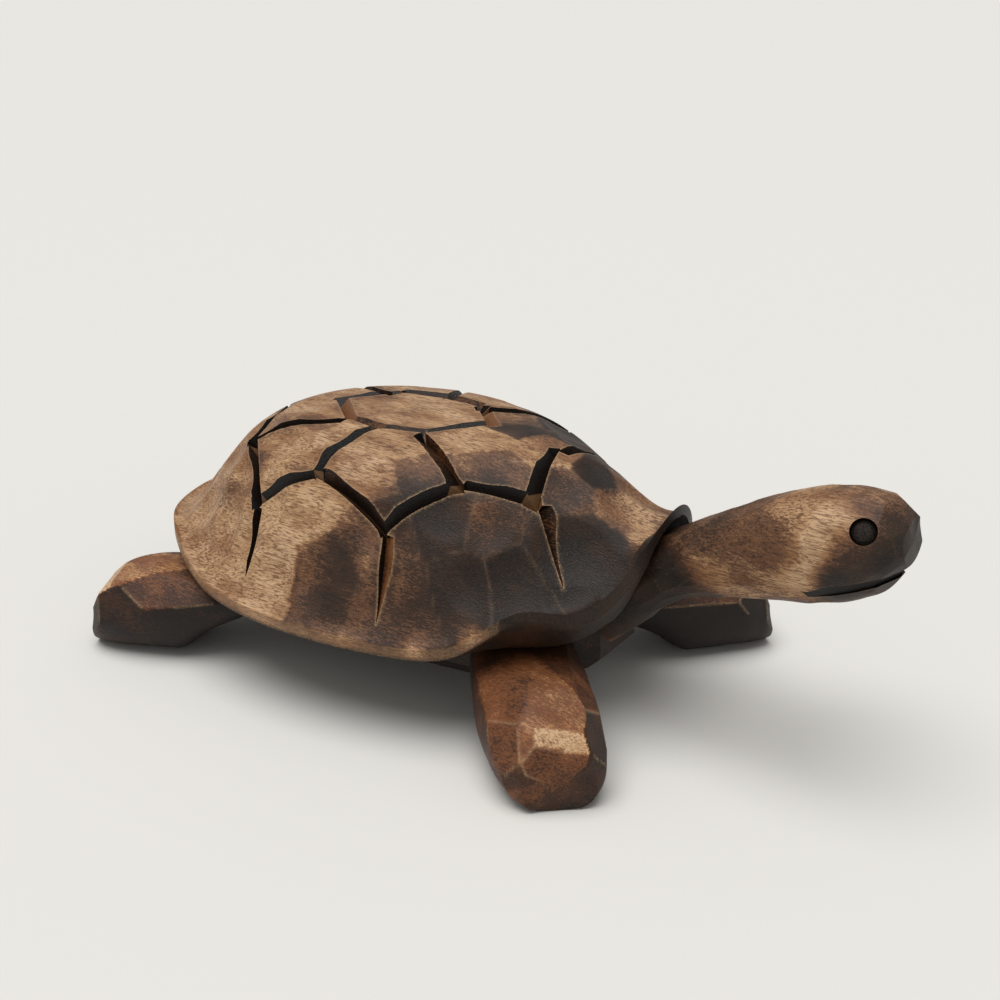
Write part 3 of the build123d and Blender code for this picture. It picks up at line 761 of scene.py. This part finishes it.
def tone_walls(piece, wall, low, high):
    """Gives each cut wall a tone of its own by its facing: scorch, and painted shade on the walls turned away
    from the light.
    """
    mesh = piece.data
    facing = np.empty(len(mesh.polygons) * 3)
    mesh.polygons.foreach_get("normal", facing)
    shade_and_burn = np.clip(WALL_MIDDLE - WALL_CONTRAST * (facing.reshape(-1, 3) @ LIT_CLEAN_SIDE), 0, 1)
    tone = mesh.attributes.new("cut_scorch_and_shade", "FLOAT", "FACE")
    tone.data.foreach_set("value", np.where(wall, low + (high - low) * shade_and_burn, 0).astype(np.float32))


tone_walls(shell, wall, 0.1, 1.1)
print("cut walls:", int(wall.sum()), "faces; points on lips:", int(on_lip.sum()),
      "; points in creases:", int(in_crease.sum()))

# %% [markdown]
# Neck and head. They could be sculpted, but a loft of ovals gives the form, and knife flats are then taken
# off: broad shallow hollows along the neck, and flats round the muzzle, brow, cheeks and jaw. Each point is
# drawn in towards the middle line of the neck, so the skin can't fold and stays fit for the later cuts.

# %% Neck and head
CORE_END = 0.84
places = np.concatenate([np.linspace(0, 0.9, 120), np.linspace(0.905, 1, 28)])
rows = smooth_table(OVALS, places)
tip = np.array([NECK_X + REACH, 0, NECK_Z + RISE])
head = skin("head_and_neck_carved", [oval_ring(row) for row in rows], (NECK_X, 0, NECK_Z), tip)
points = points_of(head)
core_rows = smooth_table(OVALS, np.minimum(places, CORE_END))
core_line = np.stack([NECK_X + core_rows[:, 0] * REACH, 0 * places, NECK_Z + core_rows[:, 1] * RISE], -1)
cores = np.vstack([np.repeat(core_line, HEAD_AROUND, axis=0), core_line[:1], core_line[-1:]])

# hollows along the neck, in rows round it
FIRST_ROW, LAST_ROW, HOLLOW_ROWS, HOLLOWS_ROUND = 24, 100, 10, 11
rng = np.random.default_rng(5)
facing = np.empty(len(points) * 3)
head.data.vertices.foreach_get("normal", facing)
facing = facing.reshape(-1, 3)
rings_hit = np.repeat(np.linspace(FIRST_ROW, LAST_ROW, HOLLOW_ROWS).astype(int), HOLLOWS_ROUND)
evenly = np.tile(np.arange(HOLLOWS_ROUND) * HEAD_AROUND / HOLLOWS_ROUND, HOLLOW_ROWS)
sides_hit = evenly + rng.uniform(-4, 4, len(evenly)) + 6 * (rings_hit % 2)
struck = rings_hit * HEAD_AROUND + sides_hit.astype(int) % HEAD_AROUND
hollow_radii = rng.uniform(18, 28, len(struck))
hollow_depths = rng.uniform(0.18, 0.36, len(struck))
hollow_centres = points[struck] + facing[struck] * (hollow_radii - hollow_depths)[:, None]
points, _, _ = scoop(points, hollow_centres, hollow_radii)

# direction of each flat on the head, and how far it lies below the outermost point; side flats are in pairs
HEAD_FLATS = [
    ((1, 0, 0.05), 0.35), ((0.74, 0, 0.67), 0.9), ((0.3, 0, 0.95), 0.4), ((-0.25, 0, 0.97), 0.2),
    ((0.83, 0.5, 0.22), 0.8), ((0.5, 0.52, 0.69), 0.9), ((0.05, 0.62, 0.78), 0.5), ((0.5, 0.86, 0.1), 0.5),
    ((0.05, 0.99, 0.12), 0.35), ((0.5, 0.72, -0.48), 0.4), ((0.78, 0.38, -0.5), 0.5),
]
all_flats = [((x, side * y, z), inset) for (x, y, z), inset in HEAD_FLATS
             for side in ((-1, 1) if y else (1,))]
flat_normals = np.array([direction for direction, _ in all_flats], float)
flat_normals /= np.linalg.norm(flat_normals, axis=1, keepdims=True)
flat_levels = (points @ flat_normals.T).max(0) - [inset for _, inset in all_flats]
points, _, _ = pare(points, cores, flat_normals, flat_levels)
points = np.clip(points, BOX_LOW, BOX_HIGH)
put_points(head, points)
head.data.materials.append(carved)
print("head:", len(head.data.polygons), "faces, front at x =", round(float(points[:, 0].max()), 1))

# %% [markdown]
# The mouth is one more knife cut. Its line could be typed in point by point. Instead, rays from the middle of
# the muzzle, in the sloping plane of the mouth, find the line on the skin, and the same knife tree sweeps it.
# The eyes are drilled, with a turned plug sunk in each socket, so a drill is cut out and a plug turned here.

# %% Mouth
MOUTH_SLOPE, MOUTH_Z, MOUTH_DEPTH, MOUTH_HALF, MOUTH_TOOL = math.radians(22), 45.8, 2.0, 1.15, 3.2
MOUTH_SWING, MOUTH_BACK, MOUTH_STEPS, MOUTH_RUN_OUT = math.radians(136), 15, 57, 2.5
skin_tree = BVHTree.FromPolygons([Vector(p) for p in points], [tuple(f.vertices) for f in head.data.polygons])
forward = np.array([math.cos(MOUTH_SLOPE), 0, math.sin(MOUTH_SLOPE)])
middle = np.array([NECK_X + REACH, 0, MOUTH_Z]) - forward * MOUTH_BACK
mouth_points, mouth_ups, mouth_scales = [], [], []
for angle in np.linspace(-MOUTH_SWING, MOUTH_SWING, MOUTH_STEPS):
    out = math.cos(angle) * forward + math.sin(angle) * np.array([0, 1, 0])
    hit = np.array(skin_tree.ray_cast(Vector(middle), Vector(out))[0])
    depth = MOUTH_DEPTH * (1 - (abs(angle) / MOUTH_SWING) ** MOUTH_RUN_OUT)
    mouth_points.append(hit + out * (MOUTH_TOOL - MOUTH_DEPTH))
    mouth_ups.append(out)
    mouth_scales.append((MOUTH_TOOL - MOUTH_DEPTH + depth) / MOUTH_TOOL)
edges = [(k, k + 1) for k in range(len(mouth_points) - 1)]
mouth_knife = knife_along("mouth_line", mouth_points, edges, mouth_ups, mouth_scales, MOUTH_TOOL,
                          MOUTH_TOOL * MOUTH_HALF / MOUTH_DEPTH)
take_out(head, mouth_knife)
print("head with mouth:", len(head.data.polygons), "faces")

# %% Eye sockets and plugs
EYE_RADIUS, EYE_GAP, EYE_DEPTH = 2.5, 0.1, 2.2
EYE_TURN, EYE_LIFT = math.radians(16), math.radians(28)
# place of an eye as shares of the reach, the head's width and the rise
EYE_ALONG, EYE_OUT, EYE_UP = 0.882, 0.37, 1.096
# radius and height of the plug's profile, from its foot to the middle of its face
PLUG = [
    (2.5, -2.2), (2.5, -1.8), (2.42, -1.5), (2.2, -1.3),
    (1.8, -1.12), (1.3, -1.0), (0.7, -0.94), (0.3, -0.92),
]
# the plug is near black: scorch, and painted shade of the deep socket
PLUG_FACE, PLUG_UNEVEN, PLUG_SCORCH_AND_SHADE, PLUG_RUB = 2.4, 0.04, 0.9, 0.05


def turned(name, profile, side, around=56):
    """A turned form about an eye's axis, from pairs of radius and height."""
    out = np.array([math.sin(EYE_TURN) * math.cos(EYE_LIFT), side * math.cos(EYE_TURN) * math.cos(EYE_LIFT),
                    math.sin(EYE_LIFT)])
    level = np.cross([0, 0, 1], out) / math.cos(EYE_LIFT)
    seat = np.array([NECK_X + EYE_ALONG * REACH, side * EYE_OUT * HEAD_WIDTH, NECK_Z + EYE_UP * RISE])
    angle = np.linspace(0, 2 * np.pi, around, endpoint=False)
    circle = np.outer(np.cos(angle), level) + np.outer(np.sin(angle), np.cross(out, level))
    rings = [seat + circle * radius + out * height for radius, height in profile]
    return skin(name, rings, seat + out * profile[0][1], seat + out * profile[-1][1])


bore = EYE_RADIUS + EYE_GAP
eyes = []
for side, name in ((-1, "right_eye"), (1, "left_eye")):
    drill = turned("drill", [(bore, -EYE_DEPTH), (bore, EYE_DEPTH)], side)
    drill.data.materials.append(knife_cut)
    take_out(head, drill)
    plug = turned(name + "_plug", PLUG, side)
    smooth = points_of(plug)
    uneven = np.random.default_rng(3).normal(0, PLUG_UNEVEN, smooth.shape)
    inside = np.linalg.norm(smooth - smooth.mean(0), axis=1) < PLUG_FACE
    put_points(plug, smooth + uneven * inside[:, None])
    plug.data.materials.append(carved)
    put_attribute(plug, "scorch_and_shade", np.full(len(smooth), PLUG_SCORCH_AND_SHADE))
    put_attribute(plug, "worn", inside * PLUG_RUB)
    eyes.append((plug, name))
print("head with mouth and sockets:", len(head.data.polygons), "faces; plugs:", len(eyes))

# %% Tone of neck and head
HEAD_BASE, MUZZLE_FROM = 0.28, 99
# middle, radius, strength
HEAD_MARKS = [
    ((116, -4, 50), 8, 0.4), ((117, 3, 52), 8, 0.4), ((113, -8, 48), 5, 0.22), ((112, 9, 47), 6, 0.3),
    ((106, -9, 46), 4, 0.3), ((106, 9, 45), 5, 0.3), ((104, 0, 37), 9, 0.4), ((109, -9, 43), 4, 0.25),
    ((62, -8, 26), 9, 0.65), ((62, 8, 26), 9, 0.6), ((66, 0, 42), 7, 0.4), ((72, -8, 33), 4, 0.4),
    ((70, -8, 38), 4, 0.3), ((80, 0, 49), 8, 0.2), ((86, -8, 46), 6, 0.2), ((86, 8, 46), 7, 0.3),
    ((78, 0, 31), 8, 0.35), ((94, -9, 49), 4, 0.12), ((80, -8, 38), 3, -0.15),
    ((104, -7, 57), 3, -0.5), ((102, -9, 53), 2.6, -0.6), ((101.5, -10, 49), 2.6, -0.6),
    ((100, -9, 45), 2.6, -0.4), ((98, -9, 42), 3, -0.3), ((99, 9, 50), 5, -0.35),
]
points = points_of(head)
wall, on_lip, in_crease = cut_walls(head)
to_lip = distance_to(points, points[on_lip])
scorch_and_shade = scorch_of(points, [(np.array(spot), radius, k) for spot, radius, k in HEAD_MARKS], HEAD_BASE)
_, _, ridge = pare(points, points, flat_normals, flat_levels)
_, _, hollow_ridge = scoop(points, hollow_centres, hollow_radii, rounds=0)
worn = np.where(points[:, 0] > MUZZLE_FROM, fade(ridge, 0.3) * 0.2, fade(hollow_ridge, 0.04) * 0.25)
put_attribute(head, "scorch_and_shade", scorch_and_shade)
put_attribute(head, "worn", np.maximum(worn, fade(to_lip, 0.4) * 0.25))
put_attribute(head, "crease", 0 * worn)
# the walls of the mouth and the eye sockets are dark all round: scorch and painted shade
tone_walls(head, wall, 0.85, 1.0)
print("marks on the head:", len(HEAD_MARKS))

# %% [markdown]
# The legs are stubby and cut with flats. A bevelled block would be too even, so each leg is a loft from its
# root on the belly to its toe, then pared with planes. The planes lie the same way on every leg, moved a
# little, so the legs match but are not copies. Each flat has a tone of its own, partly scorch, as the torch
# caught each flat as a whole, and partly painted light and shade, with the tops paler and the forward sides
# darker; the ridges between are rubbed pale.

# %% Legs
LEG_WIDTH, LEG_HEIGHT, LEG_AROUND, LEG_RINGS = 21.0, 18.9, 132, 92
# power that squares off a section, highest top, where the middle line ends, how far flats and tones stray
LEG_SQUARE, LEG_TOP, LEG_CORE_END, FLAT_STRAY = 0.75, 1.015, 0.68, 0.04
# painted shade at the root, where the leg goes in under the shell, extra darkness at the sole, and how far
# each reaches
ROOT_SHADE, ROOT_REACH, SOLE_DARKENING, SOLE_REACH = 0.35, 12, 0.2, 3
# shares of the length, the width, the low side and the top
LEG_SECTIONS = np.array([
    (0.00, 0.94, 0.50, 1.00), (0.24, 1.02, 0.26, 1.00), (0.40, 1.04, 0.02, 1.01), (0.66, 1.04, 0.00, 0.98),
    (0.86, 0.98, 0.00, 0.84), (0.96, 0.86, 0.00, 0.70), (1.00, 0.72, 0.00, 0.56),
])
# direction of each flat as ahead, forwards, up; how far it lies below the outermost point; its tone, scorch
# with painted light and shade
LEG_FLATS = [
    ((0.29, 0.02, 0.957), 0.6, 0.30), ((0.66, -0.02, 0.74), 0.7, -0.06), ((0.90, -0.05, 0.43), 0.9, 0.46),
    ((0.42, -0.78, 0.46), 1.2, 0.58), ((0.40, 0.80, 0.44), 1.2, 0.85), ((0.10, -0.62, 0.78), 1.0, 0.48),
    ((0.10, 0.66, 0.74), 1.0, 0.55), ((0.05, -0.99, 0.10), 0.3, 0.68), ((0.05, 0.99, 0.10), 0.3, 0.9),
    ((0.80, -0.56, 0.20), 0.7, 0.56), ((0.78, 0.60, 0.20), 0.7, 0.8), ((0.62, -0.42, 0.66), 0.9, 0.34),
    ((0.75, 0, -0.66), 0.4, 0.6),
]


def make_leg(name, sole_x, sole_y, angle, reach, toe, side, swell, darker, seed):
    rng = np.random.default_rng(seed)
    ahead = np.array([math.cos(math.radians(angle)), side * math.sin(math.radians(angle)), 0])
    across = -side * np.cross([0, 0, 1], ahead)
    root = np.array([sole_x, side * sole_y, 0]) - ahead * reach
    around = np.linspace(0, 2 * np.pi, LEG_AROUND, endpoint=False)
    c, s = np.cos(around), np.sin(around)
    wide = np.sign(c) * np.abs(c) ** LEG_SQUARE
    tall = np.sign(s) * np.abs(s) ** LEG_SQUARE
    rings, middles = [], []
    for place, width, low, top in smooth_table(LEG_SECTIONS, np.linspace(0, 1, LEG_RINGS)):
        half, low, top = width * LEG_WIDTH / 2, max(low, 0) * LEG_HEIGHT, min(top, LEG_TOP) * LEG_HEIGHT
        middle = root + ahead * place * (reach + toe) + np.array([0, 0, (low + top) / 2])
        breadth = wide * half + np.where(wide * swell > 0, wide * abs(swell), 0) * (1 - place**3)
        rings.append(middle + np.outer(breadth, across) + np.outer(tall * (top - low) / 2, [0, 0, 1]))
        middles.append(middle)
    leg = skin(name + "_carved", rings, middles[0], middles[-1])
    points = points_of(leg)
    middles = np.array(middles)
    core_rings = np.clip(np.arange(LEG_RINGS), 0, int(LEG_RINGS * LEG_CORE_END))
    cores = np.repeat(middles[core_rings], LEG_AROUND, axis=0)
    cores = np.vstack([cores, cores[:1], cores[-1:]])
    normals = np.array([direction for direction, _, _ in LEG_FLATS])
    normals = normals + rng.normal(0, FLAT_STRAY, normals.shape)
    normals = normals / np.linalg.norm(normals, axis=1, keepdims=True)
    normals = normals @ np.array([ahead, across, [0, 0, 1]])
    insets = np.array([inset for _, inset, _ in LEG_FLATS]) * rng.uniform(0.85, 1.15, len(LEG_FLATS))
    levels = (points @ normals.T).max(0) - insets
    points, flat, ridge = pare(points, cores, normals, levels)
    points = np.clip(points, BOX_LOW, BOX_HIGH)
    put_points(leg, points)
    leg.data.materials.append(warm)
    tones = np.array([tone for _, _, tone in LEG_FLATS])
    tones = tones + rng.normal(0, FLAT_STRAY, len(LEG_FLATS)) + darker
    along_leg = (points - root) @ ahead
    # each flat's tone is scorch with painted light and shade; painted shade darkens the root under the shell,
    # and the sole is darker
    scorch_and_shade = tones[flat] + ROOT_SHADE * fade(along_leg, ROOT_REACH)
    scorch_and_shade = scorch_and_shade + SOLE_DARKENING * fade(points[:, 2], SOLE_REACH)
    put_attribute(leg, "scorch_and_shade", np.clip(scorch_and_shade, PALEST, 1))
    put_attribute(leg, "worn", fade(ridge, 0.3) * 0.6 * (points[:, 2] > 1.5) * (along_leg > 6))
    return leg


# place of the sole, bearing, reach to the root and to the toe, side,
# swell along one side or the other, how much darker than the table, seed
LEGS = [
    ("front_right_leg", 61.7, 37.0, 48.0, 26.0, 10.5, -1, -2.5, 0.02, 21),
    ("front_left_leg", 61.7, 37.0, 48.0, 26.0, 10.5, 1, -2.5, 0.2, 22),
    ("rear_right_leg", -48.3, 34.5, 152.0, 24.0, 12.5, -1, 3.0, 0.06, 23),
    ("rear_left_leg", -48.3, 34.5, 152.0, 24.0, 12.5, 1, 3.0, 0.1, 24),
]
legs = [(make_leg(*row), row[0]) for row in LEGS]
print("legs:", [leg.name for leg, _ in legs])

# %% [markdown]
# The tail is hidden in the photograph. Such turtles have a short pointed one under the rear brim. A cone
# would look turned, not carved, so this is a loft with the CAD tail's sizes, and gets flats as the legs do.

# %% Tail
TAIL_LENGTH, TAIL_WIDTH, TAIL_HEIGHT, TAIL_Z, TAIL_DROP, TAIL_AROUND = 21.994, 13.0, 9.5, 14.0, 6.0, 64
TAIL_X = 1.0 + TAIL_LENGTH - SHELL_REAR
# shares of the length, the drop and the size
TAIL_SECTIONS = np.array([(0.0, 0.0, 1.0), (0.4, 0.22, 0.86), (0.78, 0.64, 0.58), (1.0, 1.0, 0.26)])
angle = np.linspace(0, 2 * np.pi, TAIL_AROUND, endpoint=False)
tail_rings, tail_middles = [], []
for place, drop, size in smooth_table(TAIL_SECTIONS, np.linspace(0, 1, 40)):
    middle = np.array([TAIL_X - place * TAIL_LENGTH, 0, TAIL_Z - drop * TAIL_DROP])
    circle = np.stack([0 * angle, TAIL_WIDTH / 2 * np.cos(angle), TAIL_HEIGHT / 2 * np.sin(angle)], -1)
    tail_rings.append(middle + size * circle)
    tail_middles.append(middle)
tail = skin("tail_carved", tail_rings, tail_middles[0], tail_middles[-1])
points = points_of(tail)
cores = np.vstack([np.repeat(tail_middles, TAIL_AROUND, axis=0), tail_middles[:1], tail_middles[-1:]])
turns = np.radians(np.arange(0, 360, 45) + np.random.default_rng(8).uniform(-8, 8, 8))
flats = np.stack([0 * turns - 0.25, np.cos(turns), np.sin(turns)], -1)
flats /= np.linalg.norm(flats, axis=1, keepdims=True)
points, _, ridge = pare(points, cores, flats, (points @ flats.T).max(0) - 0.4)
put_points(tail, points)
tail.data.materials.append(carved)
put_attribute(tail, "scorch_and_shade", np.clip(0.5 + 0.02 * (points[:, 0] - TAIL_X + 8), 0.3, 1))
put_attribute(tail, "worn", fade(ridge, 0.15) * 0.5)
print("tail:", len(tail.data.polygons), "faces")

# %% [markdown]
# Each dressed piece rides on the one body and stands for its CAD node. The belly block and the dowels keep
# their CAD shape and only get a wood: the block is a sawn, chamfered slab painted almost black as the shade
# under the shell, and the dowels are hidden.

# %% Place the pieces
# piece, the node it stands for, and the angle in degrees from which an edge shows as sharp
dressed = [(shell, "carapace", 30), (head, "head_and_neck", 34), (tail, "tail", 40)]
dressed += [(leg, node, 45) for leg, node in legs] + [(plug, node, 45) for plug, node in eyes]
for piece, node, degrees in dressed:
    piece.data.shade_smooth()
    piece.data.set_sharp_from_angle(angle=math.radians(degrees))
    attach(piece, "root")
    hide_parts(node)
plain_woods = {node: beech for node in ("neck_dowel", "tail_dowel", "shell_dowels", "leg_dowels")}
plain_woods["belly_block"] = underside
for node, material in plain_woods.items():
    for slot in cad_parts[node].material_slots:
        slot.material = material
counts = {piece.name: sum(len(f.vertices) - 2 for f in piece.data.polygons) for piece, _, _ in dressed}
print("triangles:", counts)

# %% [markdown]
# A plain pale floor, one large soft light high above, a little to the viewer's side, and an even pale sky.
# The light is kept at a level where a colour comes out about as written.

# %% Floor and light
floor_mesh = bpy.data.meshes.new("floor")
floor_mesh.from_pydata([(-4, -4, 0), (4, -4, 0), (4, 4, 0), (-4, 4, 0)], [], [(0, 1, 2, 3)])
floor = bpy.data.objects.new("floor", floor_mesh)
bpy.context.scene.collection.objects.link(floor)
plaster = bpy.data.materials.new("pale plaster floor")
plaster.use_nodes = True
plaster.node_tree.nodes["Principled BSDF"].inputs["Base Color"].default_value = linear("#e9e7e2")
plaster.node_tree.nodes["Principled BSDF"].inputs["Roughness"].default_value = 0.9
floor_mesh.materials.append(plaster)
SKY_STRENGTH, LAMP_STRENGTH, LAMP_WIDTH, LAMP_AIM = 0.4, 2.05, math.radians(55), (0.08, 0.14, -1)
sky = bpy.data.worlds.new("pale sky")
sky.use_nodes = True
sky.node_tree.nodes["Background"].inputs["Color"].default_value = linear("#f6f6f4")
sky.node_tree.nodes["Background"].inputs["Strength"].default_value = SKY_STRENGTH
bpy.context.scene.world = sky
lamp = bpy.data.objects.new("soft_lamp", bpy.data.lights.new("soft_lamp", "SUN"))
lamp.data.energy, lamp.data.angle = LAMP_STRENGTH, LAMP_WIDTH
lamp.rotation_euler = Vector(LAMP_AIM).to_track_quat("-Z", "Y").to_euler()
bpy.context.scene.collection.objects.link(lamp)
print("floor and light:", floor.name, sky.name, lamp.name)

# %% [markdown]
# The camera stands where the photograph was taken from: to the turtle's right and in front, a little above.

# %% Camera
VIEW_WIDTH, TARGET_X, TARGET_Z = math.radians(35), 25.4, 38.9
azimuth, elevation, distance = math.radians(33.6), math.radians(23.2), 0.3455
target = np.array([(TARGET_X + SHELL_X) * MM, 0, TARGET_Z * MM])
back = np.array([math.sin(azimuth) * math.cos(elevation), -math.cos(azimuth) * math.cos(elevation),
                 math.sin(elevation)])
camera = bpy.data.objects.new("camera", bpy.data.cameras.new("camera"))
camera.data.sensor_fit, camera.data.angle, camera.data.clip_start = "HORIZONTAL", VIEW_WIDTH, 0.01
camera.location = target + back * distance
camera.rotation_euler = (math.pi / 2 - elevation, 0, azimuth)
bpy.context.scene.collection.objects.link(camera)
bpy.context.scene.camera = camera
bpy.context.scene.view_settings.view_transform = "Standard"
print("camera", round(distance / MM), "mm from its target")
